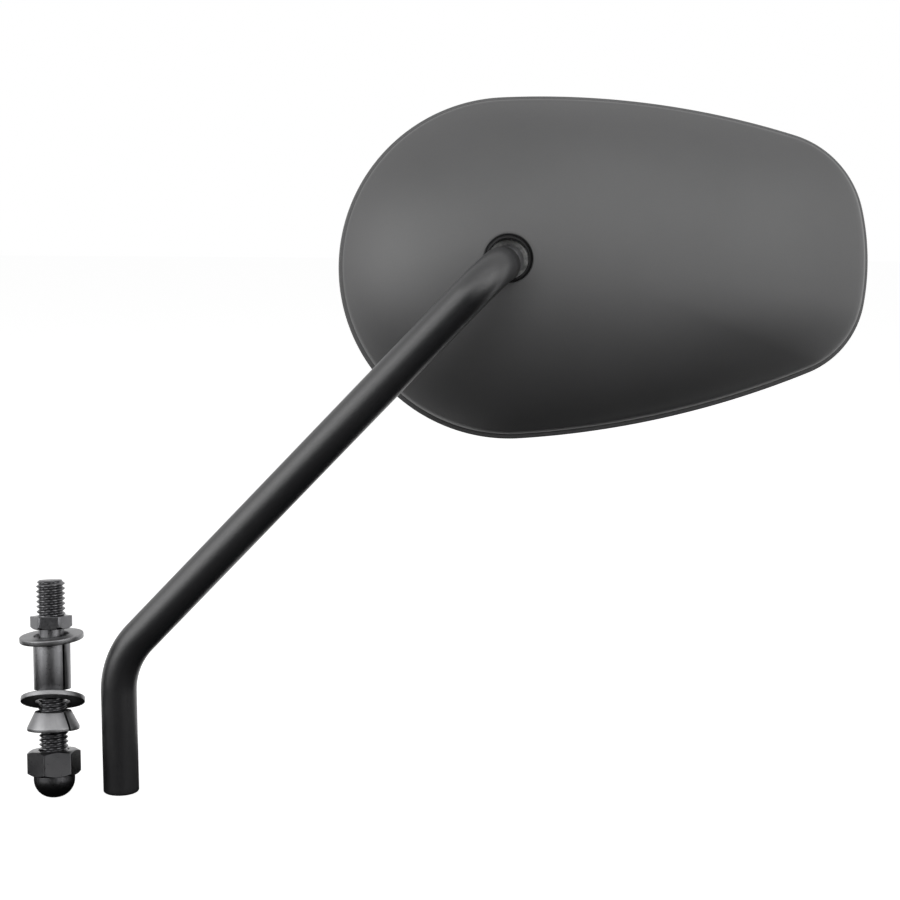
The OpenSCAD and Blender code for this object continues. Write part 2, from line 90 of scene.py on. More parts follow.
DOME_LIFT = 0.08  # keeps the leaning dome above the floor
WASHER_R, WASHER_HOLE_R, WASHER_T = 8.9, 4.85, 1.5
UPPER_WASHER_Z, UPPER_WASHER_LEAN = 44.9, (6.5, -3.7)
LOWER_WASHER_Z, LOWER_WASHER_LEAN = 27.4, (-20.0, 2.9)
SLEEVE_R, SLEEVE_IN_R, SLEEVE_Z, SLEEVE_L = 5.15, 4.25, 30.4, 12.8
TAPER_LOW_R, TAPER_TOP_R, TAPER_Z, TAPER_H, TAPER_FOOT_H = 7.25, 5.0, 19.0, 5.3, 0.9
SLIT_W, SLIT_ANGLE = 0.7, math.radians(-52)

# Stage, in metres, degrees and watts
FLOOR_SIZE, FLOOR_AT, FLOOR_GREY, FLOOR_GLOW = 6.0, (0.1, 0, -0.0006), 0.55, 0.97
ROOM_FILL = 0.02  # how bright the white surroundings are for bounced light
CARD_LEFT, CARD_RIGHT, CARD_Y, CARD_TOP, CARD_Z = -1.2, 1.4, -0.8, 1.3, -0.0003
FLOOR_CARD_END_Y, HEAD_CARD_END_Y, HEAD_CARD_LEFT, HEAD_CARD_RIGHT = 0.05, 0.12, 0.07, 0.3
CARD_BLACK = 0.01
LIGHT_TARGET = (0.1, 0.02, 0.14)
SOFTBOX_SIZE, SOFTBOX_D = 0.65, 0.8
CAMERA_AT, CAMERA_PAN, CAMERA_TIP = (0.16425, -0.51266, 0.17689), 7.8, 81.5
CAMERA_LENS, CAMERA_SENSOR = 77.68, 36.0


def turned(axis, degrees):
    return Matrix.Rotation(math.radians(degrees), 4, axis)


HEAD = Matrix.Translation(BALL_AT) @ turned("Z", HEAD_PAN) @ turned("X", HEAD_TILT)
SET_UPRIGHT = math.cos(math.radians(SET_LEAN_X)) * math.cos(math.radians(SET_LEAN_Y))
SET = (Matrix.Translation((*SET_AT, DOME_R * (1 - SET_UPRIGHT)))
       @ turned("Y", SET_LEAN_Y) @ turned("X", SET_LEAN_X) @ turned("Z", SET_TURN))


# Mesh helpers
def build(name, parts, place=None, sharp=35.0):
    """One object from (points, faces) parts in millimetres, placed by a matrix in millimetres.

    Edges that bend by more than sharp degrees stay sharp.
    """
    points, faces = [], []
    for pts, fcs in parts:
        base = len(points)
        points.extend(np.asarray(pts, float).reshape(-1, 3).tolist())
        faces.extend([[base + i for i in f] for f in fcs])
    mesh = bpy.data.meshes.new(name)
    mesh.from_pydata(points, [], faces)
    bm = bmesh.new()
    bm.from_mesh(mesh)
    bmesh.ops.remove_doubles(bm, verts=bm.verts, dist=1e-4)
    bmesh.ops.recalc_face_normals(bm, faces=bm.faces)
    bm.to_mesh(mesh)
    bm.free()
    mesh.transform(Matrix.Scale(MM, 4) @ (place or Matrix.Identity(4)))
    mesh.shade_smooth()
    mesh.set_sharp_from_angle(angle=math.radians(sharp))
    ob = bpy.data.objects.new(name, mesh)
    bpy.context.scene.collection.objects.link(ob)
    return ob


def grid(rows, around=True, along=False, caps=(False, False)):
    """Faces over rows of points.

    around joins each row's ends, along joins the last row to the first.
    """
    rows = np.asarray(rows, float)
    m, n = rows.shape[:2]
    faces = []
    for k in range(m if along else m - 1):
        for i in range(n if around else n - 1):
            j, l = (i + 1) % n, (k + 1) % m
            faces.append([k * n + i, k * n + j, l * n + j, l * n + i])
    if caps[0]:
        faces.append(list(range(n)))
    if caps[1]:
        faces.append([(m - 1) * n + i for i in range(n)])
    return rows.reshape(-1, 3), faces


def angles(n):
    """n angles spread evenly over a full turn."""
    return np.arange(n) * (2 * math.pi / n)


def ring_rows(radii, heights, n):
    """Rows of n points round Z. Each radius and each height is a number or an array of n."""
    t = angles(n)
    rows = []
    for r, z in zip(radii, heights):
        r, z = np.broadcast_to(r, n), np.broadcast_to(z, n)
        rows.append(np.stack([r * np.cos(t), r * np.sin(t), z], 1))
    return rows


def lathe(profile, n=96, loop=True, caps=(False, False)):
    """A turned piece from (radius, height) points."""
    rows = ring_rows([p[0] for p in profile], [p[1] for p in profile], n)
    return grid(rows, along=loop, caps=caps)


def softened(profile, by):
    """A closed section with its corners rounded by an even amount."""
    steps = 3
    pts = [np.array(p, float) for p in profile]
    out = []
    for i, p in enumerate(pts):
        a, b = pts[i - 1] - p, pts[(i + 1) % len(pts)] - p
        cut = min(by, 0.45 * np.linalg.norm(a), 0.45 * np.linalg.norm(b))
        start = p + a / np.linalg.norm(a) * cut
        end = p + b / np.linalg.norm(b) * cut
        for s in range(steps + 1):
            t = s / steps
            out.append(tuple((1 - t) ** 2 * start + 2 * t * (1 - t) * p + t * t * end))
    return out


def slit_lathe(section):
    """A turned piece with a straight slit of even width through its wall."""
    n = 120
    rows = []
    for r, z in section:
        half = math.asin(min(1, SLIT_W / 2 / r))
        t = SLIT_ANGLE + half + (2 * math.pi - 2 * half) * np.arange(n) / (n - 1)
        rows.append(np.stack([r * np.cos(t), r * np.sin(t), np.full(n, z)], 1))
    m = len(rows)
    points, faces = grid(rows, around=False, along=True)
    faces.append([k * n for k in range(m)])
    faces.append([k * n + n - 1 for k in range(m)])
    return points, faces


def thread_r(t, z, major, depth, pitch):
    """Radius of a right-hand thread at angles t and height z."""
    phase = (z / pitch - t / (2 * math.pi)) % 1.0
    away = np.abs(phase - 0.5) * 2
    flank = np.clip((THREAD_ROOT - away) / (THREAD_ROOT - THREAD_CREST), 0, 1)
    return major - depth * (1 - flank)


def hexagon_r(t, af):
    """Distance to a hexagon with rounded corners, a corner at angle 0."""
    phi = (t + math.pi / 6) % (math.pi / 3) - math.pi / 6
    flat = af / 2 / np.cos(math.pi / 6 - np.abs(phi))
    centre = (af / 2 - HEX_CORNER_R) / math.cos(math.pi / 6)
    root = HEX_CORNER_R**2 - (centre * np.sin(phi)) ** 2
    arc = centre * np.cos(phi) + np.sqrt(np.maximum(root, 0))
    return np.where((root > 0) & (arc < flat), arc, flat)


def hexagon_part(af, z0, z1, turn, inner_r, top=True):
    """A hexagon with a round hole or step, its corners turned off below and, with top, above."""
    n = 240
    r = hexagon_r(angles(n), af)
    wide, narrow = af / 2 / math.cos(math.pi / 6) + 0.05, af / 2 * 0.97
    drop = np.maximum(0, HEX_TURNED_OFF * (r - narrow) / (wide - narrow))
    edge, lead, flat_r = 0.12, 0.03, narrow - 0.15
    radii = [inner_r, flat_r, narrow, r, r]
    heights = [z0, z0, z0 + lead, z0 + drop, z0 + drop + edge]
    if top:
        radii += [r, r, narrow]
        heights += [z1 - drop - edge, z1 - drop, z1 - lead]
    else:
        radii += [r, r - edge]
        heights += [z1 - edge, z1]
    radii += [flat_r, inner_r]
    heights += [z1, z1]
    pts, faces = grid(ring_rows(radii, heights, n), along=True)
    c, s = math.cos(turn), math.sin(turn)
    return pts @ np.array([[c, s, 0], [-s, c, 0], [0, 0, 1]]), faces


# Head outline and crown
def hug(c1, r1, c2, r2, r):
    """Centre of the wide arc of radius r that both circles touch from inside."""
    d = np.subtract(c2, c1)
    l = np.linalg.norm(d)
    a = ((r - r1) ** 2 - (r - r2) ** 2 + l * l) / (2 * l)
    h = math.sqrt((r - r1) ** 2 - a * a)
    return np.array(c1) + d * a / l + np.array([-d[1], d[0]]) * h / l


EDGE_AT = [hug(*CORNERS[i], *CORNERS[(i + 1) % 3], EDGES[i]) for i in range(3)]


def outline(inset, count):
    """The head's outline moved in by an even distance, spread evenly along the full outline."""
    arcs = []
    for i in range(3):
        c, r = np.array(CORNERS[i][0]), CORNERS[i][1]
        before, after = EDGE_AT[i - 1], EDGE_AT[i]
        a = math.atan2(*(c - before)[::-1])
        b = math.atan2(*(c - after)[::-1])
        b += 2 * math.pi if b < a else 0
        following = np.array(CORNERS[(i + 1) % 3][0])
        e = math.atan2(*(following - after)[::-1])
        while e < b:
            e += 2 * math.pi
        arcs += [(c, r, a, b), (after, EDGES[i], b, e)]
    lengths = np.array([r * (b - a) for _, r, a, b in arcs])
    ends = np.cumsum(lengths)
    points = []
    for s in np.arange(count) * ends[-1] / count:
        k = min(int(np.searchsorted(ends, s, side="right")), len(arcs) - 1)
        c, r, a, b = arcs[k]
        t = a + (b - a) * (s - (ends[k] - lengths[k])) / lengths[k]
        points.append(c + (r - inset) * np.array([math.cos(t), math.sin(t)]))
    return np.array(points)


class Dome:
    """The crown's depth over the head's plane: egg-shaped near its top, the outline at its edge."""

    def __init__(self, inset, base_y, top_y):
        self.inset, self.base_y, self.top_y = inset, base_y, top_y
        edge = outline(inset, 1440) - CROWN_AT
        heads = np.arctan2(edge[:, 1], edge[:, 0])
        order = np.argsort(heads)
        self.heads, self.reach = heads[order], np.linalg.norm(edge, axis=1)[order]

    def share(self, p):
        """How far out the points lie, from 0 at the crown's top to 1 at its edge."""
        v = np.asarray(p, float) - CROWN_AT
        dist = np.linalg.norm(v, axis=1)
        head = np.arctan2(v[:, 1], v[:, 0])
        full = np.interp(head, self.heads, self.reach, period=2 * math.pi)
        left = CORNERS[0][1] - CORNERS[0][0][0] + CROWN_AT[0]
        right = CORNERS[1][0][0] + CORNERS[1][1] - CROWN_AT[0]
        half_x = np.where(v[:, 0] < 0, left, right) - self.inset
        half_z = CORNERS[0][1] - self.inset
        egg = 1 / np.sqrt((np.cos(head) / half_x) ** 2 + (np.sin(head) / half_z) ** 2)
        lo, hi = np.zeros(len(v)), np.full(len(v), 1.2)
        for _ in range(40):
            s = (lo + hi) / 2
            blend = s**1.5
            far = s * (egg * (1 - blend) + full * blend) > dist
            hi, lo = np.where(far, s, hi), np.where(far, lo, s)
        return np.minimum((lo + hi) / 2, 1)

    def y(self, p):
        """The crown's depth at points (x, z)."""
        fall = self.fall(self.share(p)) / self.fall(1.0)
        return self.top_y + (self.base_y - self.top_y) * fall

    @staticmethod
    def fall(s):
        """How far the crown has fallen at a share of the way out."""
        return 1 - (1 - (CROWN_REACH * s) ** CROWN_POWER) ** (1 / CROWN_POWER)


def flat_row(p, y):
    """A row of outline points (x, z) set at a depth."""
    return np.stack([p[:, 0], np.broadcast_to(y, len(p)), p[:, 1]], 1)


def disc_rows(dome, radius, edge, steps):
    """Rows over a dome from a circle about the ball's axis out to the edge row."""
    head = np.arctan2(edge[:, 1], edge[:, 0])
    inner = radius * np.stack([np.cos(head), np.sin(head)], 1)
    rows = []
    for k in range(steps + 1):
        t = k / steps
        p = inner + (edge - inner) * t
        rows.append(flat_row(p, dome.y(p)))
    return rows


# Materials
def new_material(name):
    m = bpy.data.materials.new(name)
    m.use_nodes = True
    nt = m.node_tree
    return m, nt, nt.nodes["Principled BSDF"], nt.nodes.new("ShaderNodeTexCoord")


def noise(nt, coord, scale, detail):
    tex = nt.nodes.new("ShaderNodeTexNoise")
    tex.inputs["Scale"].default_value = scale
    tex.inputs["Detail"].default_value = detail
    tex.inputs["Roughness"].default_value = 0.55
    nt.links.new(coord.outputs["Object"], tex.inputs["Vector"])
    return tex.outputs["Fac"]


def ramp(nt, fac, low, high, start=0.3, end=0.7):
    """A colour ramp between two grey or colour values."""
    node = nt.nodes.new("ShaderNodeValToRGB")
    node.color_ramp.elements[0].position = start
    node.color_ramp.elements[1].position = end
    for element, value in zip(node.color_ramp.elements, (low, high)):
        rgb = (value,) * 3 if isinstance(value, float) else value
        element.color = (*rgb, 1)
    nt.links.new(fac, node.inputs["Fac"])
    return node.outputs["Color"]


def bump(nt, bsdf, layers):
    """Bump from (height, strength, distance in metres) layers."""
    last = None
    for height, strength, distance in layers:
        node = nt.nodes.new("ShaderNodeBump")
        node.inputs["Strength"].default_value = strength
        node.inputs["Distance"].default_value = distance
        nt.links.new(height, node.inputs["Height"])
        if last is not None:
            nt.links.new(last, node.inputs["Normal"])
        last = node.outputs["Normal"]
    nt.links.new(last, bsdf.inputs["Normal"])


def finish_of(name, low, high, rough, metallic=0.0, specular=0.5, patch=60.0, grain=2500.0,
              grain_depth=0.00004, strength=0.3):
    """A worn surface: colour drifts between two values, and roughness and relief follow a grain."""
    m, nt, bsdf, coord = new_material(name)
    drift = noise(nt, coord, patch, 4.0)
    fine = noise(nt, coord, grain, 2.0)
    nt.links.new(ramp(nt, drift, low, high), bsdf.inputs["Base Color"])
    nt.links.new(ramp(nt, fine, rough[0], rough[1], 0.25, 0.75), bsdf.inputs["Roughness"])
    bsdf.inputs["Metallic"].default_value = metallic
    bsdf.inputs["Specular IOR Level"].default_value = specular
    bump(nt, bsdf, [(drift, 0.04, 0.0002), (fine, strength, grain_depth)])
    return m


# Slot: name, darker colour, lighter colour, roughness range
MATERIALS = {
    "stem_black": finish_of(
        "powder_coat", (0.007, 0.007, 0.008), (0.011, 0.011, 0.012), (0.36, 0.44),
        specular=0.8, patch=35.0, grain=1500.0, grain_depth=0.00006, strength=0.35),
    "housing_plastic": finish_of(
        "moulded_shell", (0.044, 0.044, 0.045), (0.054, 0.054, 0.055), (0.48, 0.56),
        specular=0.9, patch=25.0, grain=2600.0, grain_depth=0.00004, strength=0.35),
    "black_rubber": finish_of(
        "soft_rubber", (0.012, 0.012, 0.012), (0.020, 0.020, 0.021), (0.62, 0.80),
        specular=0.3, patch=120.0, grain=3200.0),
    "ball_steel": finish_of(
        "turned_steel", (0.30, 0.30, 0.31), (0.42, 0.42, 0.43), (0.40, 0.60),
        metallic=0.6, patch=300.0, grain=3500.0, grain_depth=0.00012, strength=0.8),
    "dark_nickel": finish_of(
        "black_nickel", (0.10, 0.10, 0.105), (0.16, 0.16, 0.165), (0.26, 0.38),
        metallic=1.0, patch=90.0, grain=1800.0, grain_depth=0.00002, strength=0.2),
    "washer_nickel": finish_of(
        "satin_nickel", (0.17, 0.17, 0.175), (0.25, 0.25, 0.255), (0.34, 0.48),
        metallic=1.0, patch=160.0, grain=2200.0, grain_depth=0.00003, strength=0.3),
    "liner_plastic": finish_of(
        "acetal", (0.20, 0.20, 0.20), (0.50, 0.50, 0.49), (0.35, 0.5), patch=700.0),
    "cup_plastic": finish_of("nylon", (0.10, 0.10, 0.09), (0.14, 0.14, 0.13), (0.4, 0.55)),
    "carrier_plastic": finish_of(
        "ribbed_plastic", (0.03, 0.03, 0.03), (0.045, 0.045, 0.045), (0.5, 0.65)),
    "foam_grey": finish_of(
        "closed_foam", (0.10, 0.10, 0.10), (0.18, 0.18, 0.18), (0.85, 0.95),
        patch=900.0, grain=1800.0, grain_depth=0.0002, strength=0.7),
    "zinc_steel": finish_of(
        "zinc_plate", (0.42, 0.42, 0.40), (0.55, 0.55, 0.53), (0.25, 0.42),
        metallic=1.0, patch=140.0),
    "spring_steel": finish_of(
        "blued_steel", (0.10, 0.11, 0.13), (0.16, 0.17, 0.19), (0.2, 0.35), metallic=1.0),
    "mirror_face": finish_of(
        "silvered_glass", (0.80, 0.83, 0.84), (0.82, 0.85, 0.86), (0.015, 0.025),
        metallic=1.0, patch=8.0, grain=40.0, grain_depth=0.0, strength=0.0),
}
SLOT_OF = {s["node"]: s["material_slot"] for s in frame["record"]["subparts"]}
BODY_OF = {n: b for b, ns in frame["record"]["behaviour"]["bodies"].items() for n in ns}


def dress(ob, node):
    """ob stands for a CAD node, rides on its body and takes its slot's material."""
    slot = SLOT_OF[node]
    ob.data.materials.clear()
    ob.data.materials.append(MATERIALS[slot])
    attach(ob, BODY_OF[node])
    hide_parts(node)


# Stem
def stem():
    n = 128
    t = angles(n)
    up, side = Vector((0, 0, 1)), Vector((0, 1, 0))
    lean = Vector((math.sin(ARM_LEAN), 0, math.cos(ARM_LEAN)))
    corner = Vector((0, 0, LEG_H))
    cut = LOW_BEND_R * math.tan(ARM_LEAN / 2)
    stations = []  # point, direction, radius

    def on_leg(z, radius):
        stations.append((Vector((0, 0, z)), up, radius))

    # threaded hole from its end down to the mouth, then the foot's bevel, face and rounded edge
    on_leg(STEM_HOLE_L, TINY_R)
    on_leg(STEM_HOLE_L, STEM_HOLE_R)
    depth = HOLE_THREAD_DEPTH
    for z in np.arange(HOLE_THREAD_L, HOLE_THREAD_Z, -UPPER_PITCH / 10):
        fade = min(1.0, (HOLE_THREAD_L - z) / HOLE_THREAD_FADE)
        ridge = thread_r(t, z, depth, depth, UPPER_PITCH) * fade
        on_leg(z, STEM_HOLE_R + depth * fade - ridge)
    for z, radius in ((0.5, STEM_HOLE_R + 0.35), (0.0, STEM_HOLE_R + 0.75),
                      (0.0, STEM_R - 0.45), (0.07, STEM_R - 0.2), (0.2, STEM_R - 0.07),
                      (STEM_EDGE, STEM_R), (1.2, STEM_R)):
        on_leg(z, radius)
    for z in np.linspace(3, LEG_H - cut, 8)[:-1]:
        on_leg(z, STEM_R)
    # low bend, arm and top bend
    for phi in np.linspace(0, ARM_LEAN, 22):
        x, rise = LOW_BEND_R * (1 - math.cos(phi)), LOW_BEND_R * math.sin(phi)
        along = Vector((math.sin(phi), 0, math.cos(phi)))
        stations.append((Vector((x, 0, LEG_H - cut + rise)), along, STEM_R))
    straight = ARM_L - TOP_BEND_R
    for reach in np.linspace(cut, straight, 30)[1:-1]:
        stations.append((corner + lean * reach, lean, STEM_R))
    for psi in np.linspace(0, math.pi / 2, 30):
        at = (corner + lean * (straight + TOP_BEND_R * math.sin(psi))
              + side * (TOP_BEND_R * (1 - math.cos(psi))))
        stations.append((at, lean * math.cos(psi) + side * math.sin(psi), STEM_R))
    # rod's chamfered end, neck, and the spigot inside the ball
    shoulder = BALL_AT[1] - SHOULDER_L
    neck_end, spigot_end = BALL_AT[1] - BALL_R * 0.7, BALL_AT[1] + BALL_R * 0.9
    for y, radius in ((TOP_BEND_R + 1.5, STEM_R), (shoulder - 0.8, STEM_R),
                      (shoulder - 0.3, STEM_R - 0.25), (shoulder, STEM_R - 0.9),
                      (shoulder, NECK_R + 0.3), (shoulder + 0.3, NECK_R), (shoulder + 4, NECK_R),
                      (neck_end, NECK_R), (neck_end, SPIGOT_R),
                      (spigot_end - 0.3, SPIGOT_R), (spigot_end, SPIGOT_R - 0.3)):
        stations.append((Vector((BALL_AT[0], y, BALL_AT[2])), side, radius))
    # each ring is carried along without twisting
    across = Vector((1, 0, 0))
    rows = []
    for at, along, radius in stations:
        across = (across - along * across.dot(along)).normalized()
        other = along.cross(across)
        radius = np.broadcast_to(radius, n)[:, None]
        ring = np.cos(t)[:, None] * np.array(across) + np.sin(t)[:, None] * np.array(other)
        rows.append(np.array(at) + radius * ring)
    dress(build("stem_rod", [grid(rows, caps=(True, True))], sharp=40), "stem")


# Head
def housing():
    n = 480
    low = RIM_Y - LIP_T
    wall_y = low - SIDE_H
    turned_in = LIP_W + SHOULDER_R * (1 - math.cos(TURN_END))
    outer = Dome(turned_in, wall_y - SHOULDER_R * math.sin(TURN_END), -CROWN_Y)
    inner = Dome(INNER_INSET, LEDGE_Y - 0.6, -CROWN_Y + WALL_T)
    edge = outline(turned_in, n)
    head = np.arctan2(edge[:, 1], edge[:, 0])
    circle = np.stack([np.cos(head), np.sin(head)], 1)
    # hole's wall and its rounded edge, then the crown and the shoulder
    soft = HOLE_EDGE_R
    rows = [flat_row(circle * HOLE_R, HOLE_END_Y)]
    rim = circle * (HOLE_R + soft)
    for a in (0, 30, 60):
        reach = HOLE_R + soft * (1 - math.cos(math.radians(a)))
        y = outer.y(rim) + soft * (1 - math.sin(math.radians(a)))
        rows.append(flat_row(circle * reach, y))
    rows += disc_rows(outer, HOLE_R + soft, edge, 64)
    for k in range(7, -1, -1):
        a = TURN_END * k / 8
        inset = LIP_W + SHOULDER_R * (1 - math.cos(a))
        rows.append(flat_row(outline(inset, n), wall_y - SHOULDER_R * math.sin(a)))
    # groove under the lip, the lip's rounded edges, and the flat frame round the glass
    for inset, y in ((LIP_W, low - 0.25), (LIP_W - 0.08, low - 0.05), (LIP_W - 0.25, low),
                     (0.45, low), (0.2, low + 0.07), (0.06, low + 0.22), (0.0, low + 0.5),
                     (0.0, RIM_Y - 0.5), (0.06, RIM_Y - 0.25), (0.2, RIM_Y - 0.08), (0.45, RIM_Y),
                     (FRAME_W - 0.3, RIM_Y), (FRAME_W - 0.08, RIM_Y - 0.08),
                     (FRAME_W, RIM_Y - 0.3), (FRAME_W, LEDGE_Y), (FRAME_W + LEDGE_W, LEDGE_Y)):
        rows.append(flat_row(outline(inset, n), y))
    # inside of the crown, the socket tower and its bore for the ball
    rows += disc_rows(inner, TOWER_R, outline(INNER_INSET, n), 20)[::-1]
    tower_y = PLATE_Y - 0.2
    for radius, y in ((TOWER_R, tower_y), (BORE_R, tower_y), (BORE_R, 0.0)):
        rows.append(flat_row(circle * radius, y))
    for a in np.linspace(0, math.acos(HOLE_R / SOCKET_R), 8)[1:]:
        rows.append(flat_row(circle * SOCKET_R * math.cos(a), -SOCKET_R * math.sin(a)))
    parts = [grid(rows, along=True)]
    # posts for the clamp plate's screws
    around = angles(40)
    ring = np.stack([np.cos(around), np.sin(around)], 1)
    for a in (90, 210, 330):
        a = math.radians(a)
        at = np.array([SCREW_RING_R * math.cos(a), SCREW_RING_R * math.sin(a)])
        post = [flat_row(at + ring * r, y)
                for r, y in ((POST_R, POST_END_Y), (POST_R, PLATE_Y), (SCREW_HOLE_R, PLATE_Y),
                             (SCREW_HOLE_R, PLATE_Y - SCREW_HOLE_L))]
        parts.append(grid(post, caps=(True, True)))
    dress(build("head_shell", parts, HEAD, sharp=38), "housing")


def dust_ring():
    section = [(DUST_R, DUST_ROLL_Y), (DUST_R + 0.2, DUST_Y), (DUST_R + 0.5, DUST_Y),
               (DUST_R + 0.7, DUST_ROLL_Y), (DUST_R + 0.7, DUST_STEP_Y),
               (HOLE_R - FIT_GAP, DUST_STEP_Y), (HOLE_R - FIT_GAP, DUST_END_Y),
               (DUST_R, DUST_END_Y)]
    place = HEAD @ turned("X", -90)
    dress(build("dust_lip", [lathe(softened(section, 0.12))], place), "dust_ring")


def glass():
    n = 360
    top = RIM_Y - 0.2
    edge = outline(FRAME_W + GASKET_W + 0.1, n)
    middle = np.array(GLASS_AT)
    inside = 1 - GLASS_BEVEL / GLASS_REACH

    def front(p):
        d = p - GLASS_AT
        return top - (d**2).sum(1) / (2 * GLASS_CURVE_R)

    rows = []
    for t in np.linspace(0.001, 1, 40):
        p = middle + (edge - middle) * t * inside
        rows.append(flat_row(p, front(p) - GLASS_T))
    rows.append(flat_row(edge, front(edge) - GLASS_T + GLASS_BEVEL))
    rows.append(flat_row(edge, front(edge) - GLASS_BEVEL))
    for t in np.linspace(1, 0.001, 40):
        p = middle + (edge - middle) * t * inside
        rows.append(flat_row(p, front(p)))
    dress(build("convex_glass", [grid(rows, caps=(True, True))], HEAD, sharp=25), "mirror_glass")


def gasket():
    n = 360
    a, b = FRAME_W + FIT_GAP, FRAME_W + GASKET_W + FIT_GAP
    low, top = LEDGE_Y + FIT_GAP, RIM_Y - 0.3
    section = softened([(a, low), (b, low), (b, top), (a, top)], 0.35)
    rows = [flat_row(outline(inset, n), y) for inset, y in section]
    dress(build("glass_seal", [grid(rows, along=True)], HEAD), "rim_gasket")


# Loose mounting set
def stud():
    n = 120
    t = angles(n)
    # lower thread with a pointed end, and the plain shank up to the hexagon
    radii, heights = [TINY_R], [STUD_LOW_Z]
    for z in np.arange(STUD_LOW_Z, THREAD_TOP_Z, LOWER_PITCH / 12):
        point = SHANK_R - 0.2 + 0.9 * (z - STUD_LOW_Z)
        radii.append(np.minimum(thread_r(t, z, STUD_R, LOWER_DEPTH, LOWER_PITCH), point))
        heights.append(z)
    radii += [SHANK_R, SHANK_R]
    heights += [THREAD_TOP_Z, HEX_Z + 0.3]
    parts = [grid(ring_rows(radii, heights, n), caps=(True, True))]
    hex_top = HEX_Z + HEX_T
    parts.append(hexagon_part(HEX_AF, HEX_Z, hex_top, HEX_TURN, 1.0, top=False))
    # upper thread, from inside the hexagon to its pointed end
    radii, heights = [], []
    for z in np.arange(hex_top - 0.3, SET_H + 1e-6, UPPER_PITCH / 14):
        point = STUD_R - 0.9 + (SET_H - z) * 1.15
        radii.append(np.minimum(thread_r(t, z, STUD_R, UPPER_DEPTH, UPPER_PITCH), point))
        heights.append(z)
    radii.append(TINY_R)
    heights.append(heights[-1])
    parts.append(grid(ring_rows(radii, heights, n), caps=(True, True)))
    dress(build("stud_body", parts, SET, sharp=40), "mount_stud")


def washers():
    half = WASHER_T / 2
    section = [(WASHER_HOLE_R, -half), (WASHER_R, -half), (WASHER_R, half), (WASHER_HOLE_R, half)]
    for name, node, z, lean in (
        ("washer_a", "upper_washer", UPPER_WASHER_Z, UPPER_WASHER_LEAN),
        ("washer_b", "lower_washer", LOWER_WASHER_Z, LOWER_WASHER_LEAN),
    ):
        place = SET @ Matrix.Translation((0, 0, z)) @ turned("Y", lean[1]) @ turned("X", lean[0])
        dress(build(name, [lathe(softened(section, 0.3), 144)], place), node)


def sleeve():
    top = SLEEVE_Z + SLEEVE_L
    section = [(SLEEVE_IN_R, SLEEVE_Z), (SLEEVE_R, SLEEVE_Z), (SLEEVE_R, top), (SLEEVE_IN_R, top)]
    dress(build("slit_sleeve", [slit_lathe(softened(section, 0.15))], SET), "split_sleeve")


def taper():
    foot, top = TAPER_Z + TAPER_FOOT_H, TAPER_Z + TAPER_H
    section = [(SLEEVE_IN_R, TAPER_Z), (TAPER_LOW_R, TAPER_Z), (TAPER_LOW_R, foot),
               (TAPER_TOP_R, top), (SLEEVE_IN_R, top)]
    dress(build("slit_taper", [slit_lathe(softened(section, 0.2))], SET), "taper_washer")


def nut():
    parts = [hexagon_part(NUT_AF, DOME_H, DOME_H + NUT_HEX_H, NUT_TURN, STUD_R + 0.3)]
    soft = DOME_R - DOME_FLAT_R
    profile = [(TINY_R, DOME_LIFT)]
    for a in np.linspace(0, 90, 32):
        height = DOME_LIFT + (soft - DOME_LIFT) * (1 - math.cos(math.radians(a)))
        profile.append((DOME_FLAT_R + soft * math.sin(math.radians(a)), height))
    profile += [(DOME_R, DOME_H + 0.1), (DOME_R - 0.6, DOME_H + 0.4)]
    parts.append(lathe(profile, loop=False, caps=(True, True)))
    dress(build("domed_nut", parts, SET, sharp=30), "acorn_nut")


for make in (stem, housing, dust_ring, glass, gasket, stud, washers, sleeve, taper, nut):
    make()
# the pieces inside keep their solids
for name, ob in frame["nodes"].items():
    if not ob.hide_render:
        ob.data.materials.clear()
        ob.data.materials.append(MATERIALS[SLOT_OF[name]])
        ob.data.shade_smooth()
        ob.data.set_sharp_from_angle(angle=math.radians(35))


# Stage, light and camera
def seen(nt):
    """1 for rays from the camera, from reflections and through glass, 0 for bounced light."""
    path = nt.nodes.new("ShaderNodeLightPath")
    level = path.outputs["Is Camera Ray"]
    for ray in ("Is Glossy Ray", "Is Transmission Ray"):
        either = nt.nodes.new("ShaderNodeMath")
        either.operation = "MAXIMUM"
        nt.links.new(level, either.inputs[0])
        nt.links.new(path.outputs[ray], either.inputs[1])
        level = either.outputs[0]
    return level


def floor():
    """A floor that is white where it is seen and a mid grey where light bounces off it."""
    bpy.ops.mesh.primitive_plane_add(size=FLOOR_SIZE, location=FLOOR_AT)
    ob = bpy.context.object
    ob.name = "floor"
    m = bpy.data.materials.new("pale_floor")
    m.use_nodes = True
    nt = m.node_tree
    nt.nodes.clear()
    out = nt.nodes.new("ShaderNodeOutputMaterial")
    diffuse = nt.nodes.new("ShaderNodeBsdfDiffuse")
    diffuse.inputs["Color"].default_value = (FLOOR_GREY, FLOOR_GREY, FLOOR_GREY, 1)
    glow = nt.nodes.new("ShaderNodeEmission")
    add = nt.nodes.new("ShaderNodeAddShader")
    lift = nt.nodes.new("ShaderNodeMath")
    lift.operation = "MULTIPLY"
    lift.inputs[1].default_value = FLOOR_GLOW
    nt.links.new(seen(nt), lift.inputs[0])
    nt.links.new(lift.outputs[0], glow.inputs["Strength"])
    nt.links.new(diffuse.outputs[0], add.inputs[0])
    nt.links.new(glow.outputs[0], add.inputs[1])
    nt.links.new(add.outputs[0], out.inputs["Surface"])
    ob.data.materials.append(m)


